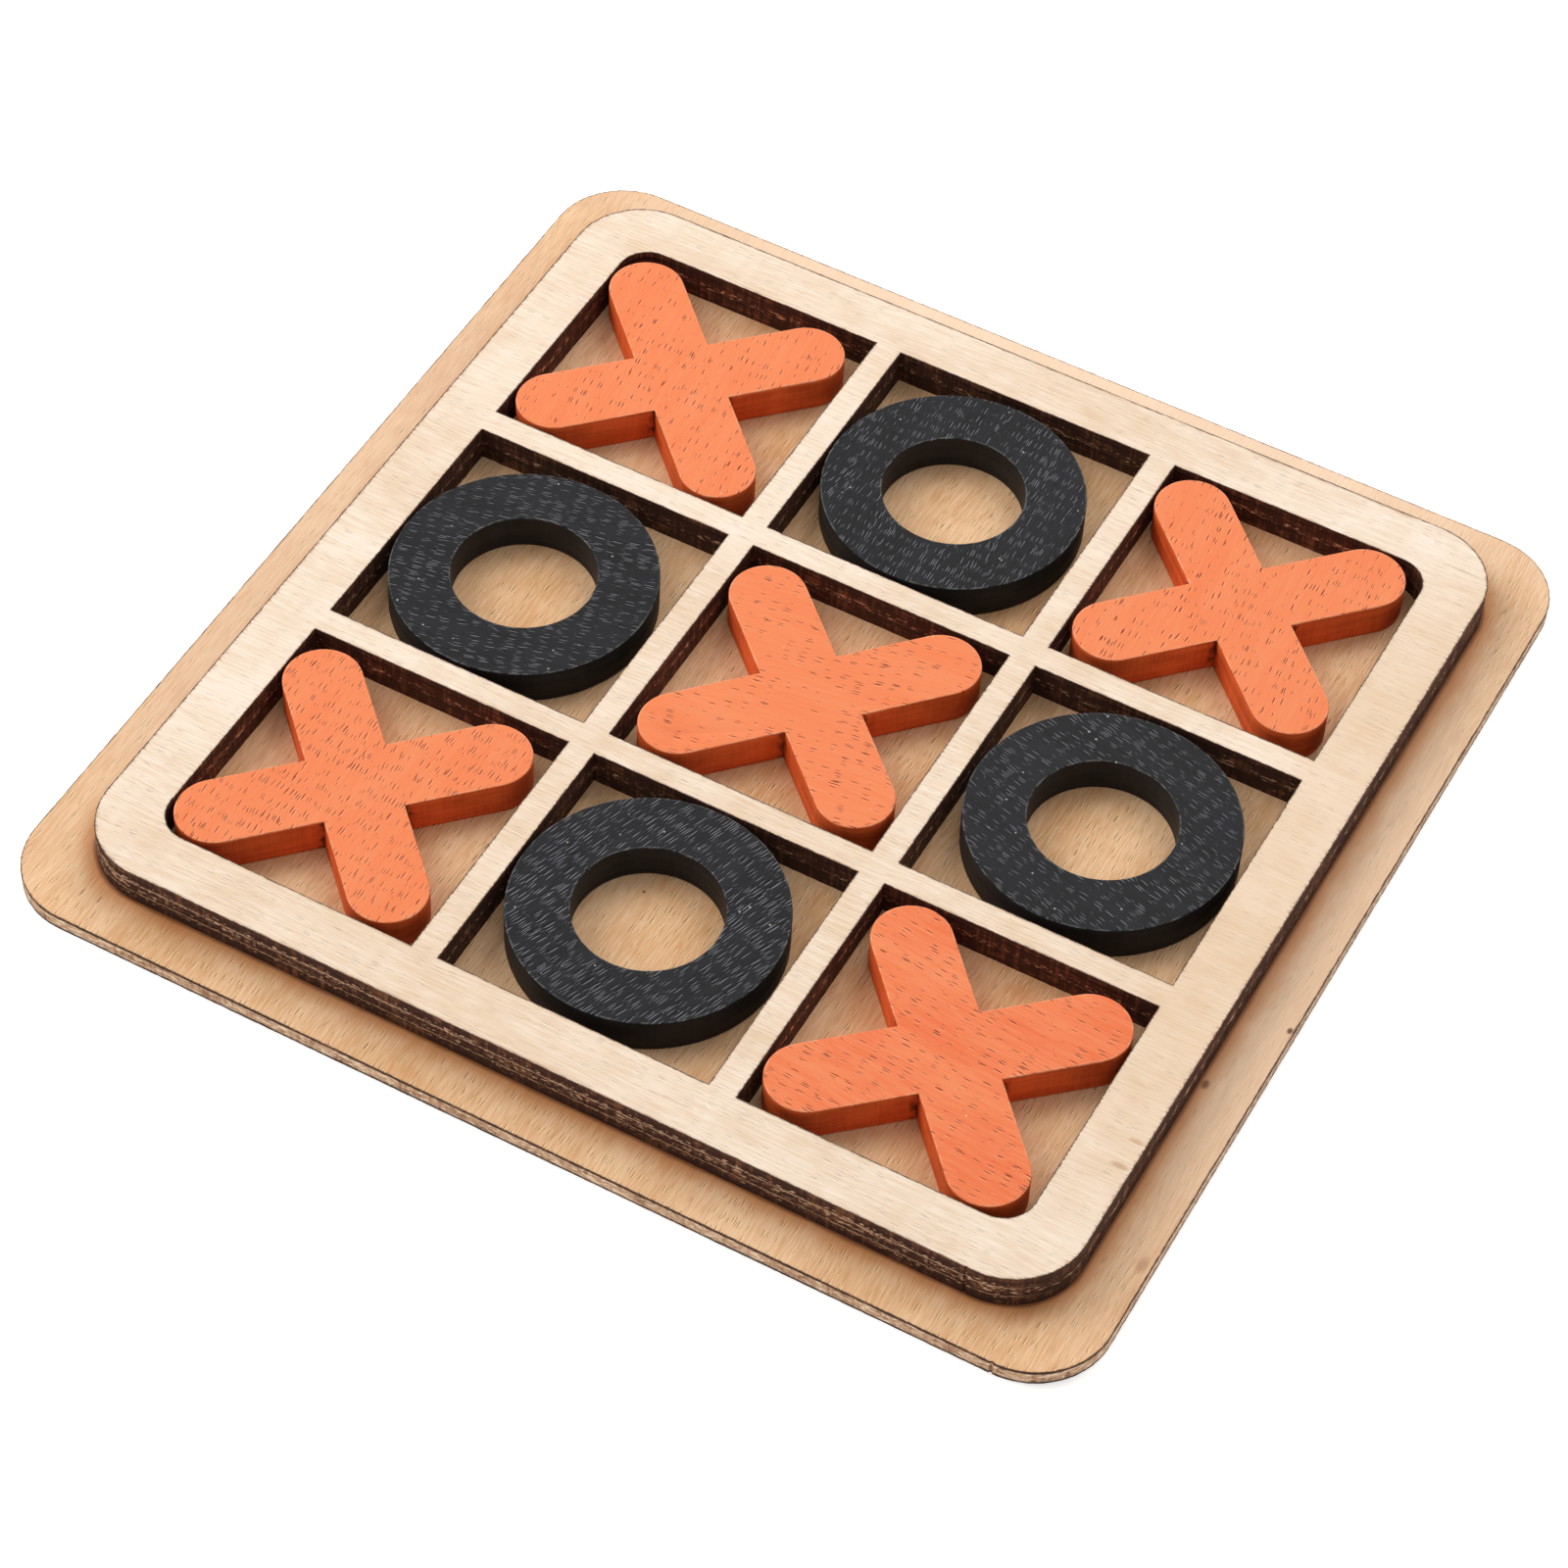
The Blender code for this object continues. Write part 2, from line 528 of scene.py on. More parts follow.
@dataclass(frozen=True)
class Pores:
    """Open pores: short thin hollows along the grain, in loose crowds, with painted highlights.

    Each cell of a scatter may hold one pore, from nothing up to the full length and
    width. A real pore is about 0.1 mm wide, and is drawn a little wider so that it shows.
    """

    length: float
    width: float
    share: float
    crowding: float = 0.28
    fullest: float = 0.32

    def draw(self, tree: NodeTree, place: Node) -> tuple[Node, Node]:
        """Draw the pores and the painted highlights beside them.

        Args:
            tree: The material's tree.
            place: The node that gives the place, in metres, with X along the grain.

        Returns:
            The hollows and the painted highlights, each from 0 to 1.
        """
        cell_along = self.length / (2 * self.fullest)
        cell_across = self.width / (2 * self.fullest)
        crowd = Figure(self.length * 6, self.width * 6, detail=3.0).draw(tree, place)
        swing = add_node(tree, "MapRange", (crowd, 0.35, 0.65, -self.crowding, self.crowding))
        masks = []
        # The second scatter lies a little across the grain from the first; beside a hollow it
        # gives a painted highlight, which stands in for the pore's lit wall.
        for shift in (0.0, 0.75 * self.width / cell_across):
            cells = add_node(
                tree, "VectorMath",
                (place, (1 / cell_along, 1 / cell_across, 1.0), (0.0, shift, 0.0)),
                operation="MULTIPLY_ADD",
            )
            scatter = add_node(
                tree, "TexVoronoi", {"Vector": cells, "Scale": 1.0}, voronoi_dimensions="2D",
            )
            luck = add_node(tree, "SeparateColor", {"Color": scatter.outputs["Color"]})
            chance = add_node(tree, "Math", (luck.outputs["Red"], swing), operation="ADD")
            size = add_node(tree, "MapRange", (chance, 1 - self.share, 1.0, 0.0, self.fullest))
            inside = add_node(
                tree, "Math", (size, scatter.outputs["Distance"]), operation="SUBTRACT",
            )
            masks.append(add_node(tree, "MapRange", (inside, 0.0, 0.3 * self.fullest)))
        hollow, beside = masks
        # Painted highlight: the shifted pores, less the pores themselves.
        pore_highlight = add_node(tree, "Math", (beside, hollow), operation="SUBTRACT", use_clamp=True)
        return hollow, pore_highlight


def distance_outside(tree: NodeTree, place: Node | NodeSocket, half: float) -> Node:
    """Measure how far a place lies outside a square in the board's plane.

    Args:
        tree: The material's tree.
        place: The place, counted from the square's middle, with no negative values.
        half: Half the square's side.

    Returns:
        The node that gives the distance in metres, and 0 inside the square.
    """
    beyond = add_node(tree, "VectorMath", (place, (half, half, 1.0)), operation="SUBTRACT")
    outside = add_node(tree, "VectorMath", (beyond,), operation="MAXIMUM")
    return add_node(tree, "VectorMath", (outside,), operation="LENGTH")


def folded_place(tree: NodeTree) -> Node:
    """Fold the four quarters of the board onto one, so that no value is negative."""
    coordinates = add_node(tree, "TexCoord")
    return add_node(tree, "VectorMath", (coordinates.outputs["Object"],), operation="ABSOLUTE")


@dataclass(frozen=True)
class SheetRim:
    """The outer rim of a sheet: a square with round corners."""

    side: float
    corner: float

    def beyond(self, tree: NodeTree) -> Node:
        """Measure in metres how far a place lies outside the rim, negative inside."""
        from_corner = distance_outside(tree, folded_place(tree), self.side / 2 - self.corner)
        return add_node(tree, "Math", (from_corner, self.corner), operation="SUBTRACT")

    def gap(self, tree: NodeTree) -> Node:
        """Measure in metres how far a place lies inside the rim."""
        return add_node(tree, "Math", (self.beyond(tree), -1.0), operation="MULTIPLY")


@dataclass(frozen=True)
class CellRims:
    """The rims of the grid's nine cells, the outermost corners of which are round."""

    side: float
    pitch: float
    corner: float

    def gap(self, tree: NodeTree) -> Node:
        """Measure how far a place on the bars or the border lies from the nearest cell.

        Args:
            tree: The material's tree.

        Returns:
            The node that gives the distance in metres.
        """
        folded = folded_place(tree)
        to_next = add_node(
            tree, "VectorMath", (folded, (self.pitch, self.pitch, 0.0)), operation="SUBTRACT",
        )
        beside_next = add_node(tree, "VectorMath", (to_next,), operation="ABSOLUTE")
        nearest = add_node(tree, "VectorMath", (folded, beside_next), operation="MINIMUM")
        squares = distance_outside(tree, nearest, self.side / 2)
        all_cells = SheetRim(2 * self.pitch + self.side, self.corner)
        return add_node(tree, "Math", (squares, all_cells.beyond(tree)), operation="MAXIMUM")


@dataclass(frozen=True)
class Scorch:
    """How the laser burns a veneer beside a cut: a black line, then brown tongues.

    The tongues follow the fibres, so they are long where the cut crosses the grain.
    """

    rims: SheetRim | CellRims
    line: float
    tongue: float
    strength: float
    darkest: str = "#2C1A12"
    brown: str = "#9A6A3E"

    def lay_mark(self, tree: NodeTree, place: Node, wood: Node) -> Node:
        """Burn the wood along the cut.

        Args:
            tree: The material's tree.
            place: The node that gives the place, with X along the grain.
            wood: The unburnt wood's colour.

        Returns:
            The node that gives the burnt colour.
        """
        gap = self.rims.gap(tree)
        tongues = Figure(5 * MM, 0.32 * MM).draw(tree, place)
        ragged = Figure(0.9 * MM, 0.35 * MM).draw(tree, place)
        reach = add_node(tree, "MapRange", (tongues, 0.42, 0.72, self.line, self.tongue))
        browned = tint(
            tree, wood, self.brown, gap, (0.0, reach), (self.strength, 0.0), "SMOOTHSTEP",
        )
        line_reach = add_node(
            tree, "MapRange", (ragged, 0.30, 0.70, self.line * 0.5, self.line * 1.8),
        )
        return tint(tree, browned, self.darkest, gap, (0.0, line_reach), (1.0, 0.0), "SMOOTHSTEP")


@dataclass(frozen=True)
class WallFootShade:
    """A soft, warm brown painted shadow on a sheet, beside the foot of a wall that stands on it.
    """

    foot: SheetRim
    reach: float
    strength: float
    brown: str

    def lay_mark(self, tree: NodeTree, place: Node, wood: Node) -> Node:
        """Paint the wall's shadow on the wood beside its foot.

        Args:
            tree: The material's tree.
            place: The node that gives the place, with X along the grain.
            wood: The clean wood's colour.

        Returns:
            The node that gives the colour with the painted shadow.
        """
        beyond = self.foot.beyond(tree)
        cloud = Figure(9 * MM, 5 * MM, detail=3.0).draw(tree, place)
        reach = add_node(tree, "MapRange", (cloud, 0.3, 0.7, 0.7 * self.reach, 1.3 * self.reach))
        # Painted shadow: strongest at the wall's foot, and fading over a cloudy reach.
        painted_shade = add_node(
            tree, "MapRange", (beyond, 0.0, reach, self.strength, 0.0),
            interpolation_type="SMOOTHSTEP",
        )
        open_air = add_node(tree, "Math", (beyond, -0.2 * MM), operation="GREATER_THAN")
        shown = add_node(tree, "Math", (painted_shade, open_air), operation="MULTIPLY")
        return add_node(
            tree, "Mix", {"Factor": shown, "A": wood, "B": linear(self.brown)}, data_type="RGBA",
        )


@dataclass(frozen=True)
class SpeckAndPaintedLight:
    """A soft oval of another colour in a veneer: a small dark speck, such as a pin knot or a
    spark's burn, or a broad patch of painted light or painted shade.
    """

    x: float
    y: float
    along: float
    across: float
    strength: float
    brown: str = "#5A3A26"

    def lay_mark(self, tree: NodeTree, place: Node, wood: Node) -> Node:
        """Lay the speck's colour over the wood.

        Args:
            tree: The material's tree.
            place: Not needed, because the speck lies where it is on the board.
            wood: The clean wood's colour.

        Returns:
            The node that gives the colour with the speck.
        """
        coordinates = add_node(tree, "TexCoord")
        scaled = add_node(
            tree, "VectorMath",
            (coordinates.outputs["Object"], (1 / self.along, 1 / self.across, 0.0)),
            operation="MULTIPLY",
        )
        away = add_node(
            tree, "VectorMath", (scaled, (self.x / self.along, self.y / self.across, 0.0)),
            operation="DISTANCE",
        )
        return tint(tree, wood, self.brown, away, (0.3, 1.0), (self.strength, 0.0), "SMOOTHSTEP")


@dataclass(frozen=True)
class BareVeneer:
    """Rotary-cut face veneer, peeled from the log and sanded bare.

    It shows slow bands of tone, soft mottle across the grain, fine pale and dark fibres,
    and short pores with a painted highlight beside each.
    """

    name: str
    grain: Grain
    pale: str
    deep: str
    pore: str
    pore_highlight: str
    pores: Pores
    pore_strength: float
    pore_highlight_strength: float
    band: Figure
    mottle: Figure
    fibre: Figure
    band_depth: float
    mottle_depth: float
    fibre_depth: float
    marks: tuple[Scorch | WallFootShade | SpeckAndPaintedLight, ...] = ()
    origin: tuple[float, float, float] = (0.037, 0.011, 0.0)

    def material(self) -> Material:
        """Build the veneer's material.

        Returns:
            The material.
        """
        material, tree = new_tree(self.name)
        place = grain_place(tree, self.grain.value, self.origin)
        flowing = let_grain_wander(tree, place, 1.2 * MM)
        depth = None
        for figure, amount in (
            (self.band, self.band_depth),
            (self.mottle, self.mottle_depth),
            (self.fibre, self.fibre_depth),
        ):
            layer = add_node(
                tree, "MapRange", (figure.draw(tree, flowing), 0.33, 0.67, -amount, amount),
            )
            depth = add_node(tree, "Math", (depth if depth else 0.45, layer), operation="ADD")
        wood = add_node(
            tree, "Mix", {"Factor": depth, "A": linear(self.pale), "B": linear(self.deep)},
            data_type="RGBA",
        )
        hollow, pore_highlight = self.pores.draw(tree, flowing)
        # The pale colour beside each pore is a painted highlight.
        wood = lay_over(
            tree, wood, (pore_highlight, self.pore_highlight_strength, self.pore_highlight),
            (hollow, self.pore_strength, self.pore),
        )
        still = grain_place(tree, self.grain.value)
        for mark in self.marks:
            wood = mark.lay_mark(tree, still, wood)

        height = add_node(tree, "Math", (depth, hollow), operation="SUBTRACT")
        lay_surface(tree, wood, Relief(height, 0.35, 0.05 * MM), SANDED)
        return material


@dataclass(frozen=True)
class LaserCutEdge:
    """The laser-cut wall of one veneer, charred by the beam.

    It shows a matt dark crust with upright streaks, and lighter broken fibres where the
    veneer's end grain stands in the wall.
    """

    name: str
    crust: str
    toasted: str
    bare: str
    toasted_share: float
    bare_share: float
    glue_lines: tuple[float, float]
    fibre_lines: tuple[float, float] | None = None
    cells_end: float = 0.0
    glue: str = "#160D09"
    relief: float = 0.6

    def material(self) -> Material:
        """Build the wall's material.

        Returns:
            The material.
        """
        material, tree = new_tree(self.name)
        place = grain_place(tree, 0.0, (0.013, 0.029, 0.0))
        upright = Figure(0.50 * MM, 0.50 * MM, 6 * MM).draw(tree, place)
        patches = Figure(3.5 * MM, 3.5 * MM, 0.9 * MM, detail=3.0).draw(tree, place)
        crumbs = Figure(0.9 * MM, 0.9 * MM, 0.32 * MM, detail=3.0).draw(tree, place)

        toasted, bare = self.toasted_share, self.bare_share
        burnt = add_node(tree, "Math", (upright, patches), operation="ADD")
        dark = tint(tree, self.crust, self.toasted, burnt, (1.02 - toasted, 1.30 - toasted))
        broken = add_node(tree, "Math", (patches, 0.35, crumbs), operation="MULTIPLY_ADD")
        colour = tint(tree, dark, self.bare, broken, (0.82 - bare, 0.92 - bare))
        colour = self._add_lines(
            tree, place, crumbs, colour, self.glue_lines, (0.04 * MM, 0.26 * MM), self.glue,
        )
        if self.fibre_lines:
            colour = self._add_lines(
                tree, place, crumbs, colour, self.fibre_lines, (-0.05 * MM, 0.30 * MM), self.bare,
                outer_only=True,
            )
        height = add_node(tree, "Math", (crumbs, upright), operation="ADD")
        lay_surface(tree, colour, Relief(height, self.relief, 0.12 * MM), CHARRED)
        return material

    def _add_lines(self, tree: NodeTree, place: Node, crumbs: Node, wall: Node,
                   lines: tuple[float, float], width: tuple[float, float], colour: str,
                   outer_only: bool = False) -> Node:
        """Draw ragged level lines, such as burnt glue or a thin row of bare fibres.

        Args:
            tree: The material's tree.
            place: The node that gives the place.
            crumbs: The wall's fine pattern, which makes the lines ragged.
            wall: The wall's colour.
            lines: The height of one line and half the distance to the next.
            width: Half the line's least and most width.
            colour: The line's colour.
            outer_only: Whether the line shows only round the outside of the board, and
                there not on the wall that faces right, which the smoke has blackened.

        Returns:
            The node that gives the colour with the lines.
        """
        start, spacing = lines
        split = add_node(tree, "SeparateXYZ", (place,))
        above = add_node(tree, "Math", (split.outputs["Z"], start), operation="SUBTRACT")
        away = add_node(tree, "Math", (above, spacing), operation="PINGPONG")
        half_width = add_node(tree, "MapRange", (crumbs, 0.35, 0.65, width[0], width[1]))
        on_line = add_node(
            tree, "MapRange", (away, 0.0, half_width, 0.9, 0.0), interpolation_type="SMOOTHSTEP",
        )
        if outer_only:
            outside = add_node(
                tree, "MapRange",
                (distance_outside(tree, folded_place(tree), self.cells_end), 0.0, 0.5 * MM),
            )
            on_line = add_node(tree, "Math", (on_line, outside), operation="MULTIPLY")
            facing = add_node(tree, "NewGeometry")
            rightward = add_node(tree, "SeparateXYZ", (facing.outputs["Normal"],))
            clean = add_node(tree, "MapRange", (rightward.outputs["X"], 0.3, 0.8, 1.0, 0.0))
            on_line = add_node(tree, "Math", (on_line, clean), operation="MULTIPLY")
        return add_node(
            tree, "Mix", {"Factor": on_line, "A": wall, "B": linear(colour)}, data_type="RGBA",
        )


@dataclass(frozen=True)
class ThinPaint:
    """A thin coat of matt paint on sanded plywood whose pores stay open.

    It shows slightly uneven cover, dark pores along the grain with a painted highlight beside
    each, a thin pale line on the rim that is partly rubbed paint and partly painted highlight,
    and a few pale specks of dust.
    """

    name: str
    coat: str
    thin: str
    pore: str
    pore_highlight: str
    pale_wear_and_highlight: str
    pore_strength: float
    pore_highlight_strength: float
    wear_and_highlight_strength: float
    relief: float
    speck_share: float

    def material(self, piece: str, degrees: float, pores: Pores) -> Material:
        """Build the paint on the flat faces of one piece.

        Args:
            piece: The piece's name.
            degrees: The direction of the grain under the paint.
            pores: The pores of the wood under the paint.

        Returns:
            The material.
        """
        material, tree = new_tree(f"{self.name}_{piece}")
        straight = grain_place(tree, degrees, (0.021, 0.043, 0.0))
        place = let_grain_wander(tree, straight, 2.0 * MM)
        cover = Figure(14 * MM, 4 * MM, detail=3.0).draw(tree, place)
        fibre = Figure(5 * MM, 0.26 * MM).draw(tree, place)
        uneven = add_node(tree, "Math", (cover, fibre), operation="ADD")
        paint = tint(tree, self.coat, self.thin, uneven, (0.75, 1.25))
        hollow, pore_highlight = pores.draw(tree, place)
        # A pale line on the upper rim: partly paint rubbed thin, and partly a painted highlight
        # where the rounded rim catches the light.
        rim = add_node(tree, "Attribute", attribute_name="rim")
        rim_patches = Figure(1.1 * MM, 1.1 * MM, detail=3.0).draw(tree, place)
        patchy_rim = add_node(tree, "Math", (rim.outputs["Fac"], rim_patches), operation="MULTIPLY")
        pale_wear_and_highlight = add_node(tree, "MapRange", (patchy_rim, 0.42, 0.60))
        # The pale colour beside each pore is a painted highlight.
        paint = lay_over(
            tree, paint, (pore_highlight, self.pore_highlight_strength, self.pore_highlight),
            (hollow, self.pore_strength, self.pore), (pale_wear_and_highlight, self.wear_and_highlight_strength, self.pale_wear_and_highlight),
            (self._specks(tree, place), 1.0, self.pale_wear_and_highlight),
        )
        height = add_node(tree, "Math", (fibre, hollow), operation="SUBTRACT")
        lay_surface(tree, paint, Relief(height, self.relief, 0.07 * MM), PAINTED)
        return material

    def _specks(self, tree: NodeTree, place: Node) -> Node:
        """Scatter a few specks of dust, about 0.25 mm across.

        Args:
            tree: The material's tree.
            place: The node that gives the place.

        Returns:
            The node that gives the specks, from 0 to 1.
        """
        dots = add_node(tree, "TexVoronoi", {"Vector": place, "Scale": 1 / (1.4 * MM)})
        small = add_node(tree, "MapRange", (dots.outputs["Distance"], 0.06, 0.12, 1.0, 0.0))
        luck = add_node(tree, "SeparateColor", {"Color": dots.outputs["Color"]})
        kept = add_node(
            tree, "Math", (luck.outputs["Red"], 1 - self.speck_share), operation="GREATER_THAN",
        )
        return add_node(tree, "Math", (small, kept), operation="MULTIPLY")


@dataclass(frozen=True)
class PaintedCut:
    """The same thin paint over a charred laser-cut wall, which drinks it in.

    It shows a deeper colour than the flat faces, which is partly the soaked-in paint and partly
    painted shade with warm bounce light, fine upright streaks left by the beam, a faint level
    banding from the veneers, and dark char with painted shade in the inner corners.
    """

    name: str
    coat: str
    dark: str
    darkest: str

    def material(self) -> Material:
        """Build the material of the painted walls.

        Returns:
            The material.
        """
        material, tree = new_tree(self.name)
        place = grain_place(tree, 0.0, (0.017, 0.005, 0.0))
        upright = Figure(0.45 * MM, 0.45 * MM, 8 * MM).draw(tree, place)
        level = Figure(25 * MM, 25 * MM, 0.9 * MM).draw(tree, place)
        cover = Figure(5 * MM, 5 * MM, 3 * MM, detail=3.0).draw(tree, place)
        lines = add_node(tree, "Math", (upright, 0.5, level), operation="MULTIPLY_ADD")
        uneven = add_node(tree, "Math", (lines, cover), operation="ADD")
        colour = tint(tree, self.coat, self.dark, uneven, (1.00, 1.55))
        # Darker in the inner corners: char blotches together with painted shade, where the arms'
        # walls face each other.
        corner = add_node(tree, "Attribute", attribute_name="inner_corner")
        blotch = Figure(0.8 * MM, 0.8 * MM, 1.2 * MM, detail=3.0).draw(tree, place)
        corner_darkening = add_node(tree, "Math", (corner.outputs["Fac"], blotch), operation="MULTIPLY")
        colour = tint(tree, colour, self.darkest, corner_darkening, (0.30, 0.55), (0.0, 0.85))
        lay_surface(tree, colour, Relief(lines, 0.35, 0.05 * MM), PAINTED)
        return material


# ---------------------------------------------------------------------------
# The board
# ---------------------------------------------------------------------------


@dataclass
class PlySheet:
    """A sheet of plywood with round corners, built up from its veneers."""

    node: str
    side: float
    corner: float
    bottom: float
    top: float
    roughness: LaserRoughness = field(default_factory=LaserRoughness)
    longest_edge: float = 0.6 * MM
    corner_segments: int = 24

    @property
    def outline_side(self) -> float:
        """The side of the cut outline, which leaves room for the walls' roughness."""
        return self.side - self.roughness.depth

    def blank(self, name: str, bottom: float, top: float) -> Object:
        """Model one uncut veneer with round corners.

        Args:
            name: The veneer's name.
            bottom: The height of its underside.
            top: The height of its upper face.

        Returns:
            The veneer.
        """
        veneer = add_block(name, (self.outline_side, self.outline_side), bottom, top)
        with editing(veneer):
            select(veneer, Part.EDGES, is_upright)
            bpy.ops.mesh.bevel(
                offset=self.corner, segments=self.corner_segments, profile=0.5, affect="EDGES",
            )
        return veneer

    def rough_cut(self, veneer: Object) -> None:
        """Divide a veneer's walls finely and shift them as the laser left them.

        Args:
            veneer: The veneer, cut to its outline.
        """
        with editing(veneer):
            select(veneer, Part.EDGES, is_upright)
            bpy.ops.mesh.subdivide(number_cuts=1)
            shorten_wall_edges(veneer, self.longest_edge)
        self.roughness.shift(veneer)

    def cut_with(self, sheet: Object, cutter: Object) -> None:
        """Cut a shape out of a sheet."""
        modify(sheet, "BOOLEAN", operation="DIFFERENCE", solver="EXACT", object=cutter)

    def start_mark(self, along_front: float) -> Object:
        """Model the thin upright groove where the beam pierced the front edge.

        Args:
            along_front: The groove's place along X.

        Returns:
            The groove, as a cutter taller than the sheet.
        """
        bpy.ops.mesh.primitive_cylinder_add(
            vertices=12,
            radius=0.22 * MM,
            depth=3 * (self.top - self.bottom),
            location=(along_front, -self.outline_side / 2, (self.bottom + self.top) / 2),
        )
        mark = bpy.context.active_object
        apply_place(mark)
        return mark


@dataclass
class BaseBoard(PlySheet):
    """The thin base: two face veneers on a thick pale core."""

    veneer_thickness: float = 0.35 * MM
    mark_place: float = 62.4 * MM

    def build(self, finishes: "BoardFinishes") -> list[Object]:
        """Build the base's three veneers.

        Args:
            finishes: The board's materials.

        Returns:
            The veneers, from the underside up.
        """
        levels = (
            self.bottom,
            self.bottom + self.veneer_thickness,
            self.top - self.veneer_thickness,
            self.top,
        )
        cuts = (finishes.base_cut_dark, finishes.base_cut_core, finishes.base_cut_dark)
        names = ("base_back_veneer", "base_core", "base_face_veneer")
        mark = self.start_mark(self.mark_place)
        pieces = []
        for name, bottom, top, cut in zip(names, levels, levels[1:], cuts):
            veneer = self.blank(name, bottom, top)
            self.cut_with(veneer, mark)
            self.rough_cut(veneer)
            dress(veneer, finishes.base_face, cut)
            pieces.append(veneer)
        discard(mark)
        return pieces


@dataclass
class GridFrame(PlySheet):
    """The thick grid: five veneers with nine cells cut through them."""

    cell_side: float = 36.3 * MM
    cell_pitch: float = 40.0 * MM
    cell_corner: float = 4.2 * MM
    mark_place: float = 55.4 * MM
    layers: int = 5

    @property
    def layer_thickness(self) -> float:
        """The thickness of one veneer."""
        return (self.top - self.bottom) / self.layers

    def cell_cutter(self) -> Object:
        """Model the nine cells as one cutter, with the outermost corners round.

        Returns:
            The cutter.
        """
        margin = self.top - self.bottom
        blocks = [self.start_mark(self.mark_place)]
        for column in (-1, 0, 1):
            for row in (-1, 0, 1):
                centre = (column * self.cell_pitch, row * self.cell_pitch)
                block = add_block(
                    "cell", (self.cell_side, self.cell_side),
                    self.bottom - margin, self.top + margin, centre,
                )
                if column and row:
                    self._round_outermost(block)
                blocks.append(block)
        bpy.ops.object.select_all(action="DESELECT")
        for block in blocks:
            block.select_set(True)
        bpy.context.view_layer.objects.active = blocks[-1]
        bpy.ops.object.join()
        return bpy.context.active_object

    def _round_outermost(self, block: Object) -> None:
        """Round the upright edge of a corner cell that lies furthest out.

        Args:
            block: The cell's cutter.
        """
        reach = (self.cell_pitch + self.cell_side / 2) * math.sqrt(2) - HAIR * 10
        with editing(block):
            select(
                block, Part.EDGES,
                lambda edge: is_upright(edge) and edge.verts[0].co.xy.length > reach,
            )
            bpy.ops.mesh.bevel(offset=self.cell_corner, segments=12, profile=0.5, affect="EDGES")

    def build(self, finishes: "BoardFinishes") -> list[Object]:
        """Build the grid's veneers, each cut like the one below it.

        Args:
            finishes: The board's materials.

        Returns:
            The veneers, from the base up.
        """
        thickness = self.layer_thickness
        pattern = self.blank("grid_veneer", self.bottom, self.bottom + thickness)
        cutter = self.cell_cutter()
        self.cut_with(pattern, cutter)
        discard(cutter)
        names = ("back_veneer", "lower_crossband", "core", "upper_crossband", "face_veneer")
        pieces = []
        for layer, (name, cut) in enumerate(zip(names, finishes.grid_cuts)):
            veneer = copy_piece(pattern, f"grid_{name}")
            veneer.location = UP * thickness * layer
            apply_place(veneer)
            self.rough_cut(veneer)
            dress(veneer, finishes.grid_face, cut)
            pieces.append(veneer)
        discard(pattern)
        return pieces


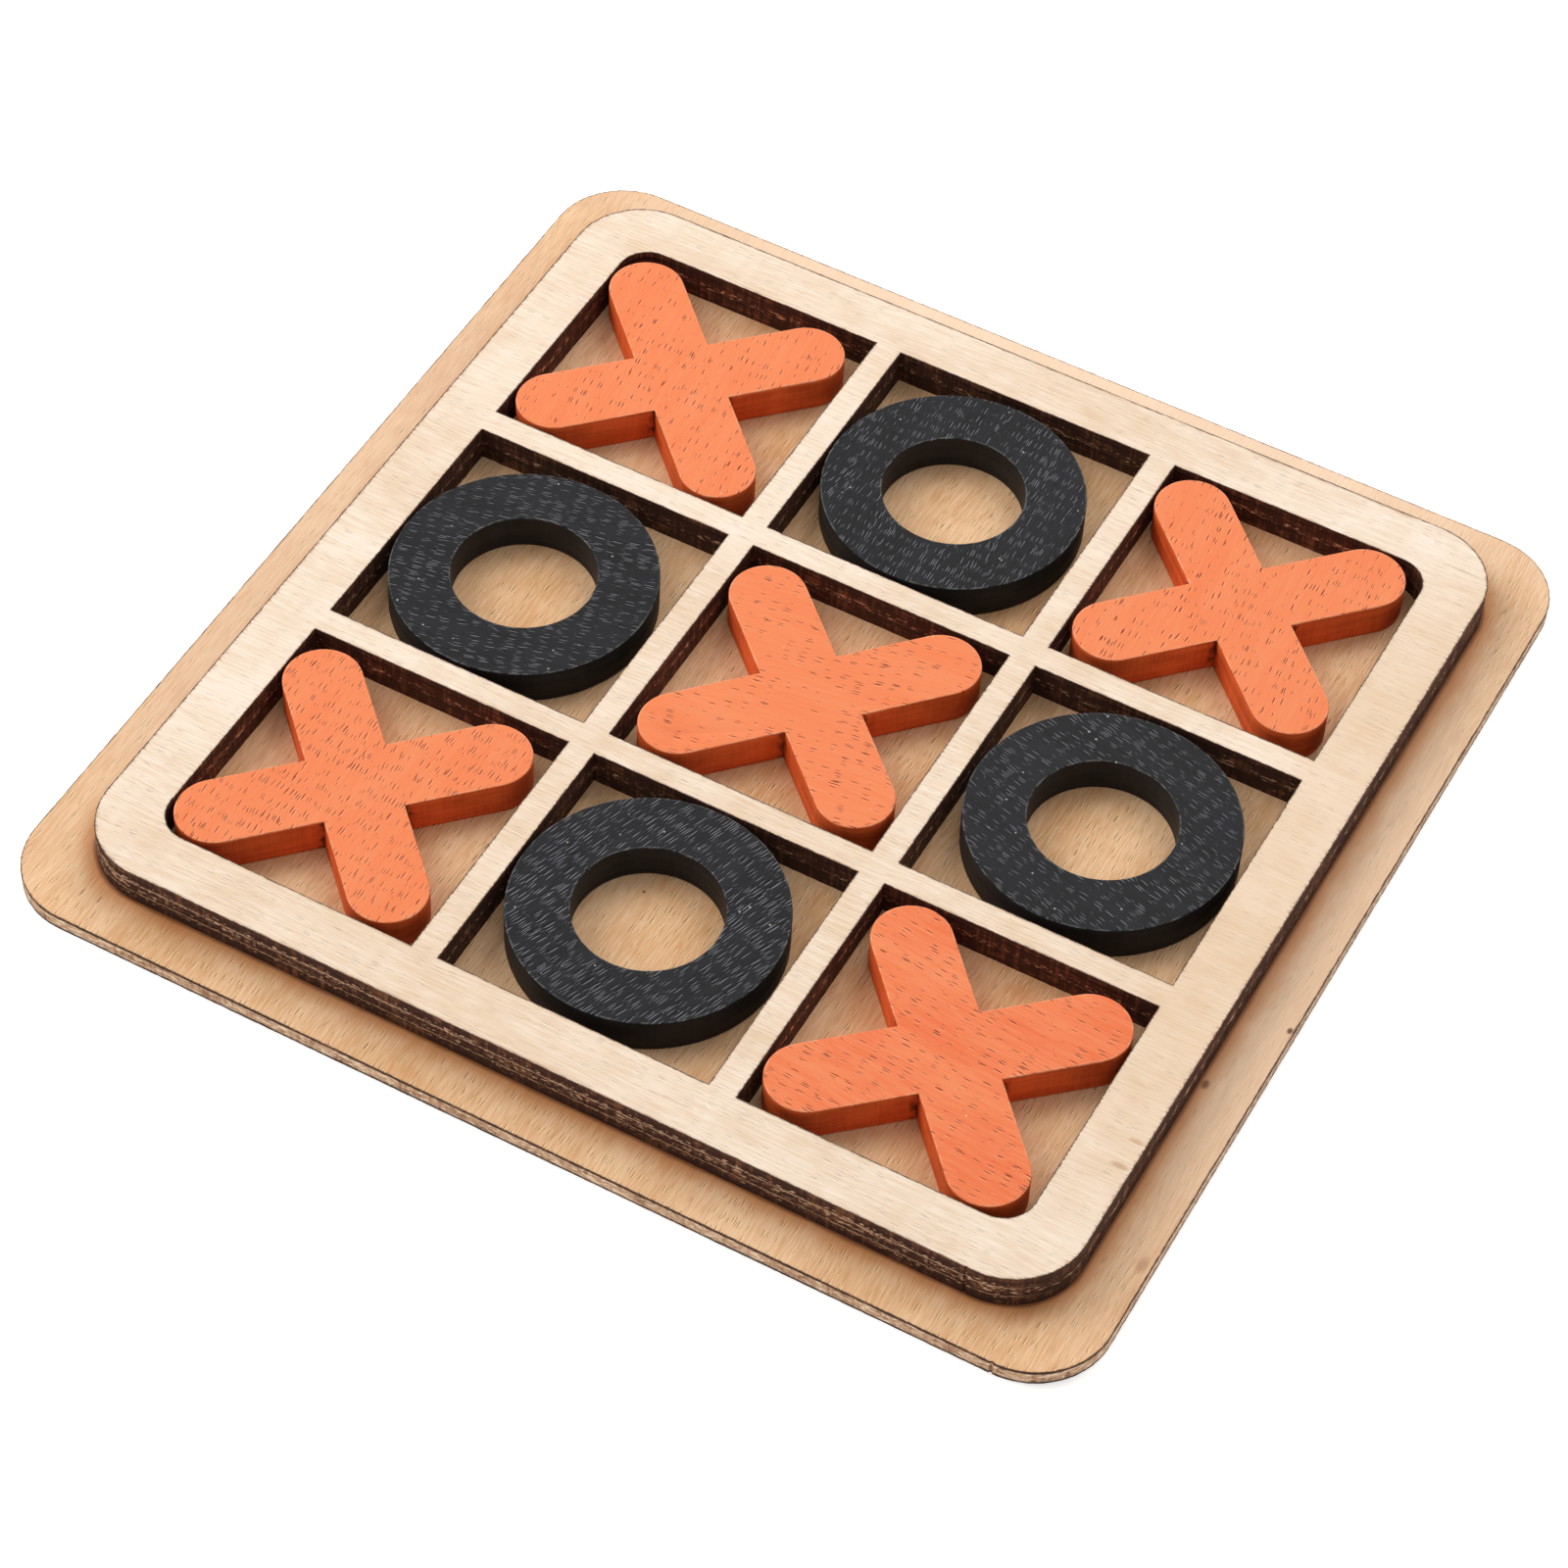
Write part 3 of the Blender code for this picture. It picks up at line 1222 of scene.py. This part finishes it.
@dataclass
class BoardFinishes:
    """The board's materials, made once for all its veneers."""

    grid_face: Material
    grid_cuts: tuple[Material, ...]
    base_face: Material
    base_cut_dark: Material
    base_cut_core: Material

    @classmethod
    def make(cls, base: BaseBoard, grid: GridFrame) -> "BoardFinishes":
        """Make the board's materials from its sizes.

        Args:
            base: The base sheet.
            grid: The grid sheet.

        Returns:
            The materials.
        """
        grid_rim = SheetRim(grid.outline_side, grid.corner)
        base_rim = SheetRim(base.outline_side, base.corner)
        cell_rims = CellRims(grid.cell_side, grid.cell_pitch, grid.cell_corner)
        return cls(
            # Basswood veneer: almost white, with fine even fibres along the front edge.
            grid_face=BareVeneer(
                name="basswood_face_veneer_sanded", grain=Grain.ALONG_FRONT,
                # The pale colour beside the pores is a painted highlight.
                pale="#F2E1CF", deep="#DCC0A1", pore="#7E5A3C", pore_highlight="#F6ECDD",
                pores=Pores(1.4 * MM, 0.14 * MM, share=0.50),
                pore_strength=0.30, pore_highlight_strength=0.45,
                band=Figure(60 * MM, 14 * MM), mottle=Figure(4 * MM, 6 * MM),
                fibre=Figure(6 * MM, 0.30 * MM), band_depth=0.25, mottle_depth=0.12,
                fibre_depth=0.30,
                marks=(
                    # Painted shade: the right border is darker and tan, where the light from the
                    # back left falls off.
                    SpeckAndPaintedLight(64 * MM, 0 * MM, 14 * MM, 75 * MM, 0.40, "#DDBA93"),
                    Scorch(cell_rims, line=0.20 * MM, tongue=0.7 * MM, strength=0.40),
                    Scorch(grid_rim, line=0.22 * MM, tongue=0.9 * MM, strength=0.60),
                    SpeckAndPaintedLight(-55.5 * MM, -56.3 * MM, 0.8 * MM, 0.7 * MM, 0.7),
                    SpeckAndPaintedLight(64.2 * MM, -44.6 * MM, 1.6 * MM, 0.6 * MM, 0.5, "#A9713C"),
                    SpeckAndPaintedLight(64.4 * MM, -40.6 * MM, 1.4 * MM, 0.5 * MM, 0.4, "#A9713C"),
                    SpeckAndPaintedLight(61.5 * MM, 60.2 * MM, 3.2 * MM, 0.3 * MM, 0.3, "#A98A66"),
                ),
            ).material(),
            grid_cuts=cls._grid_cuts(grid),
            # Birch veneer: warmer and stronger in grain, which runs from front to back.
            base_face=BareVeneer(
                name="birch_face_veneer_sanded", grain=Grain.FRONT_TO_BACK,
                # The pale colour beside the pores is a painted highlight.
                pale="#EEC79E", deep="#CC9460", pore="#7A4A28", pore_highlight="#F8D8A4",
                pores=Pores(1.5 * MM, 0.16 * MM, share=0.50),
                pore_strength=0.55, pore_highlight_strength=0.80,
                band=Figure(45 * MM, 9 * MM, detail=3.0),
                mottle=Figure(4 * MM, 5 * MM, detail=3.0),
                fibre=Figure(3.5 * MM, 0.24 * MM), band_depth=0.22, mottle_depth=0.11,
                fibre_depth=0.28,
                marks=(
                    # Painted light and shade: the back and right strips are paler and the left
                    # strip duller, each set to how the light falls on that side of the board.
                    SpeckAndPaintedLight(0 * MM, 71 * MM, 95 * MM, 14 * MM, 0.65, "#F8DFC6"),
                    SpeckAndPaintedLight(70 * MM, 0 * MM, 9 * MM, 85 * MM, 0.55, "#F2D3B6"),
                    SpeckAndPaintedLight(-70 * MM, 0 * MM, 9 * MM, 85 * MM, 0.45, "#E2C3A8"),
                    # Painted shadow at the foot of the grid's walls: a wide, warm brown one, and a
                    # dark, narrow one right at the foot.
                    WallFootShade(grid_rim, reach=3.4 * MM, strength=0.80, brown="#C67C43"),
                    WallFootShade(grid_rim, reach=0.7 * MM, strength=0.85, brown="#6E3C20"),
                    Scorch(base_rim, line=0.16 * MM, tongue=0.5 * MM, strength=0.5),
                    SpeckAndPaintedLight(-4.2 * MM, -33.9 * MM, 0.3 * MM, 0.3 * MM, 0.9),
                    SpeckAndPaintedLight(71.3 * MM, -52.3 * MM, 0.9 * MM, 1.8 * MM, 0.35, "#8A5230"),
                    SpeckAndPaintedLight(71.9 * MM, -13.6 * MM, 0.5 * MM, 0.7 * MM, 0.9),
                    SpeckAndPaintedLight(66.6 * MM, -25.7 * MM, 0.6 * MM, 1.0 * MM, 0.7),
                ),
            ).material(),
            # The face veneers' cut edges: a thin black-brown line above and below the core.
            base_cut_dark=LaserCutEdge(
                name="birch_edge_laser_charred",
                crust="#3A241A", toasted="#6E4A33", bare="#9C7658",
                toasted_share=0.0, bare_share=0.0, glue_lines=(0.0, base.top),
            ).material(),
            # The core's cut edge: barely browned, speckled like crumbly end grain.
            base_cut_core=LaserCutEdge(
                name="poplar_core_laser_browned",
                crust="#8C664A", toasted="#BE9777", bare="#E4C8A8",
                toasted_share=0.25, bare_share=0.12, glue_lines=(0.0, base.top),
            ).material(),
        )

    @staticmethod
    def _grid_cuts(grid: GridFrame) -> tuple[Material, ...]:
        """Make the materials of the grid's five cut edges.

        Args:
            grid: The grid sheet.

        Returns:
            The materials, from the lowest veneer up.
        """
        layer = grid.layer_thickness
        glue_lines = (grid.bottom, layer)
        # A thin row of pale fibres stands out of the char just below and above the core.
        fibre_lines = (grid.bottom + 1.70 * layer, 0.80 * layer)
        cells_end = grid.cell_pitch + grid.cell_side / 2 + 1 * MM
        # Lower veneers: black char, where the beam lingered and soot gathered.
        sooty = LaserCutEdge(
            name="basswood_edge_laser_sooty",
            crust="#3A2318", toasted="#6E4631", bare="#8E6346",
            toasted_share=0.02, bare_share=-0.02, glue_lines=glue_lines,
        )
        # Upper veneers: dark reddish brown, with fine upright streaks.
        toasted = LaserCutEdge(
            name="basswood_edge_laser_toasted",
            crust="#40241A", toasted="#744830", bare="#94684A",
            toasted_share=0.02, bare_share=-0.04, glue_lines=glue_lines,
        )
        edges = (
            sooty,
            replace(sooty, name="basswood_crossband_laser_sooty", bare="#B08A6C",
                    fibre_lines=fibre_lines, cells_end=cells_end),
            # The core's end grain: browner, with crumbs of lighter fibre.
            replace(toasted, name="basswood_end_grain_laser_broken", toasted="#6A442F",
                    bare="#C09A7A", toasted_share=0.06, bare_share=0.09, relief=1.0),
            replace(toasted, name="basswood_crossband_laser_toasted", bare="#D2AE8E",
                    fibre_lines=fibre_lines, cells_end=cells_end),
            toasted,
        )
        return tuple(edge.material() for edge in edges)


# ---------------------------------------------------------------------------
# The playing pieces
# ---------------------------------------------------------------------------


@dataclass
class PieceShape:
    """What crosses and rings share: their thickness, soft rims and faint veneer lines."""

    bottom: float
    top: float
    rim_radius: float = 0.18 * MM
    rim_segments: int = 3
    # the width of the pale rim line, which is partly rubbed paint and partly painted highlight
    rim_line_width: float = 0.15 * MM
    veneers: int = 5
    line_depth: float = 0.02 * MM
    line_half_width: float = 0.10 * MM
    longest_edge: float = 0.6 * MM
    roughness: LaserRoughness = field(
        default_factory=lambda: LaserRoughness(depth=0.05 * MM, grit=0.5 * MM)
    )

    @property
    def joints(self) -> list[float]:
        """The heights where two veneers meet."""
        thickness = (self.top - self.bottom) / self.veneers
        return [self.bottom + joint * thickness for joint in range(1, self.veneers)]

    def soften_rims(self, piece: Object) -> None:
        """Round the rims between the flat faces and the walls, in edit mode.

        Args:
            piece: The piece, in edit mode.
        """
        def is_rim(edge: bmesh.types.BMEdge) -> bool:
            """Whether an edge lies between a flat face and a wall."""
            return is_level(edge) and sorted(map(is_wall, edge.link_faces)) == [False, True]

        select(piece, Part.EDGES, is_rim)
        bpy.ops.mesh.bevel(
            offset=self.rim_radius, segments=self.rim_segments, profile=0.5, affect="EDGES",
        )

    def mark_rims(self, piece: Object) -> None:
        """Add a narrow ring inside the upper rim and store how close each point is to it.

        Args:
            piece: The piece, in edit mode.
        """
        select(
            piece, Part.FACES,
            lambda face: face.normal.z > 0.999 and face.calc_center_median().z > self.top - HAIR,
        )
        bpy.ops.mesh.inset(thickness=self.rim_line_width, depth=0.0)
        shape = bmesh.from_edit_mesh(piece.data)
        rim = shape.verts.layers.float.new("rim")
        inner_corner = shape.verts.layers.float.new("inner_corner")
        low = self.top - self.rim_radius - HAIR
        for vert in shape.verts:
            vert[rim] = float(vert.co.z > low and not vert.select)
            vert[inner_corner] = 0.0
        bmesh.update_edit_mesh(piece.data)

    def mark_inner_corners(self, piece: Object) -> None:
        """Store nothing more: a ring has no inner corner, so its points keep an inner-corner value
        of 0.
        """

    def line_walls(self) -> None:
        """Cut three level loops round the walls, in edit mode, where two veneers meet."""
        for height in self.joints:
            for offset in (-self.line_half_width, 0.0, self.line_half_width):
                bpy.ops.mesh.select_all(action="SELECT")
                bpy.ops.mesh.bisect(plane_co=(0.0, 0.0, height + offset), plane_no=UP)

    def press_lines(self, piece: Object) -> None:
        """Press in the loops where two veneers meet.

        Args:
            piece: The piece, in object mode.
        """
        group = piece.vertex_groups.new(name="veneer_lines")
        on_line = [
            vert.index
            for vert in piece.data.vertices
            if any(abs(vert.co.z - height) < HAIR * 5 for height in self.joints)
        ]
        group.add(on_line, 1.0, "REPLACE")
        modify(
            piece, "DISPLACE", direction="NORMAL", mid_level=0.0, strength=-self.line_depth,
            vertex_group=group.name,
        )
        piece.vertex_groups.clear()

    def finish_shape(self, piece: Object) -> None:
        """Soften, mark and line a piece, and divide its walls finely for the roughening.

        Args:
            piece: The piece as its plain outline.
        """
        with editing(piece):
            self.soften_rims(piece)
            self.mark_rims(piece)
            self.line_walls()
            shorten_wall_edges(piece, self.longest_edge)
            self.mark_inner_corners(piece)
        self.press_lines(piece)

    def place(self, pattern: Object, played: "PlayedPiece",
              flat: Material, cut: Material) -> Object:
        """Copy the pattern to where a CAD piece lies, add its nicks and dress it.

        Args:
            pattern: The piece modelled once, at the middle of the board.
            played: The CAD node it stands for, its turn in its cell and its nicks.
            flat: The material of its flat faces.
            cut: The material of its walls.

        Returns:
            The piece in its place.
        """
        piece = copy_piece(pattern, played.node.replace("_piece", "_painted"))
        low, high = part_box(played.node)
        middle = (low + high) / 2
        piece.location = (middle.x, middle.y, 0.0)
        piece.rotation_euler = (0.0, 0.0, math.radians(played.turn))
        apply_place(piece)
        self.roughness.shift(piece)
        for nick in played.nicks:
            nick.press_into(piece, self.top)
        dress(piece, flat, cut)
        return piece


@dataclass
class CrossShape(PieceShape):
    """A cross with two equal bars and half-round tips."""

    span: float = 44.2 * MM
    arm_width: float = 10.0 * MM
    tip_segments: int = 16
    # how far the darkening of the inner corners reaches: char together with painted shade
    corner_dark_reach: float = 2.5 * MM

    def mark_inner_corners(self, piece: Object) -> None:
        """Store how close each point is to one of the four inner corners.

        Args:
            piece: The cross, in edit mode, turned by an eighth.
        """
        from_middle = self.arm_width / math.sqrt(2)
        corners = [direction * from_middle for direction in QUARTERS]
        shape = bmesh.from_edit_mesh(piece.data)
        inner_corner = shape.verts.layers.float["inner_corner"]
        for vert in shape.verts:
            away = min((vert.co.xy - corner.xy).length for corner in corners)
            vert[inner_corner] = max(0.0, 1.0 - away / self.corner_dark_reach)
        bmesh.update_edit_mesh(piece.data)

    def pattern(self) -> Object:
        """Model the cross once, as a plus turned by an eighth.

        Returns:
            The pattern, at the middle of the board.
        """
        half = self.arm_width / 2
        cross = add_block("cross_pattern", (self.arm_width, self.arm_width), self.bottom, self.top)
        reach = self.span / 2 - half
        with editing(cross):
            for direction in QUARTERS:
                side = direction * half
                select(
                    cross, Part.FACES,
                    lambda face, side=side: (face.calc_center_median() - side).xy.length < HAIR,
                )
                bpy.ops.mesh.extrude_region_move(
                    TRANSFORM_OT_translate={"value": direction * reach},
                )
            select(
                cross, Part.EDGES,
                lambda edge: is_upright(edge) and edge.verts[0].co.xy.length > reach,
            )
            bpy.ops.mesh.bevel(
                offset=half, segments=self.tip_segments, profile=0.5, affect="EDGES",
                clamp_overlap=False,
            )
            bpy.ops.mesh.select_all(action="SELECT")
            bpy.ops.mesh.remove_doubles(threshold=HAIR)
            bpy.ops.mesh.select_all(action="DESELECT")
            select(cross, Part.FACES, is_flat)
            bpy.ops.mesh.dissolve_faces()
        cross.rotation_euler = (0.0, 0.0, math.pi / 4)
        apply_place(cross)
        self.finish_shape(cross)
        return cross


@dataclass
class RingShape(PieceShape):
    """A flat ring with a round hole."""

    diameter: float = 34.2 * MM
    hole: float = 18.5 * MM
    segments: int = 180

    def pattern(self) -> Object:
        """Model the ring once, from a disc whose faces are inset and bridged.

        Returns:
            The pattern, at the middle of the board.
        """
        bpy.ops.mesh.primitive_cylinder_add(
            vertices=self.segments,
            radius=self.diameter / 2,
            depth=self.top - self.bottom,
            location=(0.0, 0.0, (self.bottom + self.top) / 2),
        )
        ring = bpy.context.active_object
        ring.name = "ring_pattern"
        apply_place(ring)
        with editing(ring):
            select(ring, Part.FACES, is_flat)
            bpy.ops.mesh.inset(
                thickness=(self.diameter - self.hole) / 2, depth=0.0, use_individual=True,
            )
            bpy.ops.mesh.bridge_edge_loops()
        self.finish_shape(ring)
        return ring


@dataclass(frozen=True)
class Nick:
    """A small flaw in a piece: a ball or an upright rod that is pressed into it."""

    x: float
    y: float
    radius: float
    sunk: float | None = None

    def press_into(self, piece: Object, top: float) -> None:
        """Take the nick out of the piece.

        Args:
            piece: The piece in its place.
            top: The height of the piece's upper face.
        """
        if self.sunk is None:
            bpy.ops.mesh.primitive_cylinder_add(
                vertices=10, radius=self.radius, depth=3 * top, location=(self.x, self.y, top),
            )
        else:
            bpy.ops.mesh.primitive_ico_sphere_add(
                subdivisions=3, radius=self.radius,
                location=(self.x, self.y, top + self.radius - self.sunk),
            )
        tool = bpy.context.active_object
        apply_place(tool)
        modify(piece, "BOOLEAN", operation="DIFFERENCE", solver="EXACT", object=tool)
        discard(tool)


@dataclass(frozen=True)
class PlayedPiece:
    """One piece on the board: its CAD node, its turn, and the grain under its paint.

    A piece from another batch of paint names its own coat.
    """

    node: str
    turn: float
    grain: float
    pores: Pores
    coat: str | None = None
    nicks: tuple[Nick, ...] = ()


@dataclass
class PlayingPieces:
    """All the pieces of one kind."""

    shape: CrossShape | RingShape
    paint: ThinPaint
    cut: PaintedCut
    slot: str
    played: tuple[PlayedPiece, ...]

    def build(self) -> None:
        """Model the shape once, and copy, place and dress it for each piece."""
        pattern = self.shape.pattern()
        cut = self.cut.material()
        for played in self.played:
            paint = replace(self.paint, coat=played.coat) if played.coat else self.paint
            flat = paint.material(played.node, played.grain, played.pores)
            piece = self.shape.place(pattern, played, flat, cut)
            attach(piece, played.node, played.node)
        discard(pattern)


# ---------------------------------------------------------------------------
# The studio
# ---------------------------------------------------------------------------


@dataclass
class Studio:
    """A plain white table, soft light from the back left, and the camera."""

    aim: tuple[float, float, float] = (4.04 * MM, -14.34 * MM, 7.2 * MM)
    distance: float = 568.3 * MM
    azimuth: float = 26.19
    elevation: float = 50.06
    roll: float = 3.28
    lens: float = 107.75
    floor_side: float = 6.0
    room_light: float = 0.50
    floor_glow: float = 0.45

    def build(self) -> None:
        """Set up the floor, the lights and the camera."""
        self._floor()
        self._lights()
        self._camera()
        bpy.context.scene.view_settings.view_transform = "Standard"

    def _floor(self) -> None:
        """Lay a matt white table top just under the board, faintly lit from below."""
        bpy.ops.mesh.primitive_plane_add(size=self.floor_side, location=(0.0, 0.0, -0.02 * MM))
        floor = bpy.context.active_object
        floor.name = "studio_floor"
        material, tree = new_tree("matt_white_laminate")
        place = grain_place(tree, 0.0)
        mottle = Figure(300 * MM, 300 * MM).draw(tree, place)
        colour = add_node(
            tree, "Mix", {"Factor": mottle, "A": linear("#F8F8F7"), "B": linear("#F6F6F5")},
            data_type="RGBA",
        )
        shader = add_node(
            tree, "BsdfPrincipled",
            {"Base Color": colour, "Roughness": 0.9, "Specular IOR Level": 0.1,
             "Emission Color": (1.0, 1.0, 1.0, 1.0), "Emission Strength": self.floor_glow},
        )
        add_node(tree, "OutputMaterial", {"Surface": shader})
        floor.data.materials.append(material)

    def _lights(self) -> None:
        """Hang softboxes at the left, the back and above, in a room lit softly all round."""
        for name, place, size, power in (
            ("softbox_left", (-1.00, -0.05, 0.85), 0.90, 10.5),
            ("softbox_back", (0.10, 1.00, 1.00), 0.90, 8.0),
            ("softbox_above", (0.10, 0.20, 1.30), 1.20, 1.4),
        ):
            bpy.ops.object.light_add(type="AREA", location=place)
            light = bpy.context.active_object
            light.name = name
            light.data.shape = "SQUARE"
            light.data.size = size
            light.data.energy = power
            light.rotation_euler = Vector(place).to_track_quat("Z", "Y").to_euler()
        world = bpy.data.worlds.new("white_room")
        world.use_nodes = True
        tree = world.node_tree
        tree.nodes.clear()
        seen = add_node(tree, "LightPath")
        glow = add_node(tree, "Background", {"Strength": self.room_light})
        wall = add_node(tree, "Background", {"Strength": 1.0})
        for paper in (glow, wall):
            paper.inputs["Color"].default_value = (1.0, 1.0, 1.0, 1.0)
        room = add_node(tree, "MixShader", (seen.outputs["Is Camera Ray"], glow, wall))
        add_node(tree, "OutputWorld", {"Surface": room})
        bpy.context.scene.world = world

    def _camera(self) -> None:
        """Aim the camera at the board from the front right, with a slight roll."""
        azimuth, elevation = math.radians(self.azimuth), math.radians(self.elevation)
        outward = Vector((
            math.cos(elevation) * math.sin(azimuth),
            -math.cos(elevation) * math.cos(azimuth),
            math.sin(elevation),
        ))
        bpy.ops.object.camera_add(location=Vector(self.aim) + outward * self.distance)
        camera = bpy.context.active_object
        camera.name = "studio_camera"
        turn = outward.to_track_quat("Z", "Y").to_matrix()
        turn = turn @ Matrix.Rotation(math.radians(self.roll), 3, "Z")
        camera.rotation_euler = turn.to_euler()
        camera.data.lens = self.lens
        camera.data.sensor_width = 36.0
        camera.data.clip_start = 0.01
        bpy.context.scene.camera = camera


# ---------------------------------------------------------------------------
# Putting it together
# ---------------------------------------------------------------------------


def attach(piece: Object, body: str, node: str) -> None:
    """Make a piece ride on its CAD body and stand for its CAD node.

    Args:
        piece: The finished piece.
        body: The CAD body that it moves with.
        node: The CAD node that it replaces.
    """
    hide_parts(node)
    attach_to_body(piece, body)
    LOG.info("%s: %d faces, on %s", piece.name, len(piece.data.polygons), body)


def build_board() -> None:
    """Build the base and the grid, veneer by veneer."""
    base_low, base_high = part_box("base_board")
    grid_low, grid_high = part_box("grid_frame")
    base = BaseBoard(
        node="base_board", side=base_high.x - base_low.x, corner=10.0 * MM,
        bottom=base_low.z, top=base_high.z,
    )
    # The glue line closes the gap that the CAD solids keep.
    grid = GridFrame(
        node="grid_frame", side=grid_high.x - grid_low.x, corner=9.6 * MM,
        bottom=base_high.z, top=grid_high.z,
    )
    finishes = BoardFinishes.make(base, grid)
    for veneer in base.build(finishes):
        attach(veneer, "board", base.node)
    for veneer in grid.build(finishes):
        attach(veneer, "board", grid.node)


def build_pieces() -> None:
    """Build the crosses and the rings, resting on the base with their tops level with the grid."""
    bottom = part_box("base_board")[1].z + 0.01 * MM
    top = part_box("grid_frame")[1].z
    fine_pores = Pores(1.3 * MM, 0.15 * MM, share=0.35)
    some_pores = Pores(1.4 * MM, 0.15 * MM, share=0.45)
    many_pores = Pores(1.5 * MM, 0.15 * MM, share=0.75, crowding=0.20)
    grooves = Pores(1.6 * MM, 0.14 * MM, share=0.75, fullest=0.38)
    deep_grooves = Pores(2.2 * MM, 0.18 * MM, share=1.0, crowding=0.15, fullest=0.46)
    PlayingPieces(
        shape=CrossShape(bottom=bottom, top=top),
        # Orange paint: warm and matt, with the wood's pores open and dark red inside, a painted
        # highlight beside each pore, and a pale rim that is partly rubbed paint, partly painted
        # highlight.
        paint=ThinPaint(
            name="orange_paint_on_wood", coat="#E97D4D", thin="#EA8859", pore="#8A2C0C",
            pore_highlight="#F6A87C", pale_wear_and_highlight="#FBB88E", pore_strength=1.0, pore_highlight_strength=0.60,
            wear_and_highlight_strength=0.40, relief=0.5, speck_share=0.02,
        ),
        # The walls' colours are deeper and redder than the flat paint: partly the soaked-in paint,
        # and partly painted shade with warm bounce light.
        cut=PaintedCut(
            name="orange_paint_on_charred_edge", coat="#EF6830", dark="#C94E1D",
            # The darkest colour fills the inner corners: char together with painted shade.
            darkest="#3C170B",
        ),
        slot="orange_painted_wood",
        played=(
            PlayedPiece("x_piece_front_left", 0.3, 91.0, many_pores),
            PlayedPiece("x_piece_front_right", -2.7, -4.0, some_pores, coat="#E57043"),
            PlayedPiece(
                "x_piece_center", 1.6, 10.0, fine_pores,
                nicks=(
                    Nick(15.95 * MM, 9.95 * MM, radius=0.16 * MM),
                    Nick(-10.9 * MM, -14.1 * MM, radius=0.9 * MM, sunk=0.12 * MM),
                ),
            ),
            PlayedPiece("x_piece_back_left", 0.1, 96.0, fine_pores),
            PlayedPiece("x_piece_back_right", 0.7, 94.0, some_pores),
        ),
    ).build()
    PlayingPieces(
        shape=RingShape(bottom=bottom, top=top),
        # Black paint: matt, with a painted highlight beside each pore, a pale rim that is partly
        # rubbed paint and partly painted highlight, and pale specks of dust.
        paint=ThinPaint(
            name="black_paint_on_wood", coat="#151517", thin="#222225", pore="#040404",
            pore_highlight="#77777C", pale_wear_and_highlight="#A9A6A2", pore_strength=1.0, pore_highlight_strength=0.85,
            wear_and_highlight_strength=0.22, relief=0.8, speck_share=0.20,
        ),
        cut=PaintedCut(
            name="black_paint_on_charred_edge", coat="#2A2625", dark="#1A1716", darkest="#100D0C",
        ),
        slot="black_painted_wood",
        played=(
            PlayedPiece("o_piece_front", 0.0, 71.0, deep_grooves),
            PlayedPiece("o_piece_left", 0.0, 15.0, grooves),
            PlayedPiece("o_piece_right", 0.0, 165.0, grooves),
            PlayedPiece("o_piece_back", 0.0, 90.0, grooves),
        ),
    ).build()


def main() -> None:
    """Build the studio, the board and the pieces."""
    logging.basicConfig(level=logging.INFO, format="%(name)s: %(message)s")
    Studio().build()
    build_board()
    build_pieces()


if __name__ == "__main__":
    main()
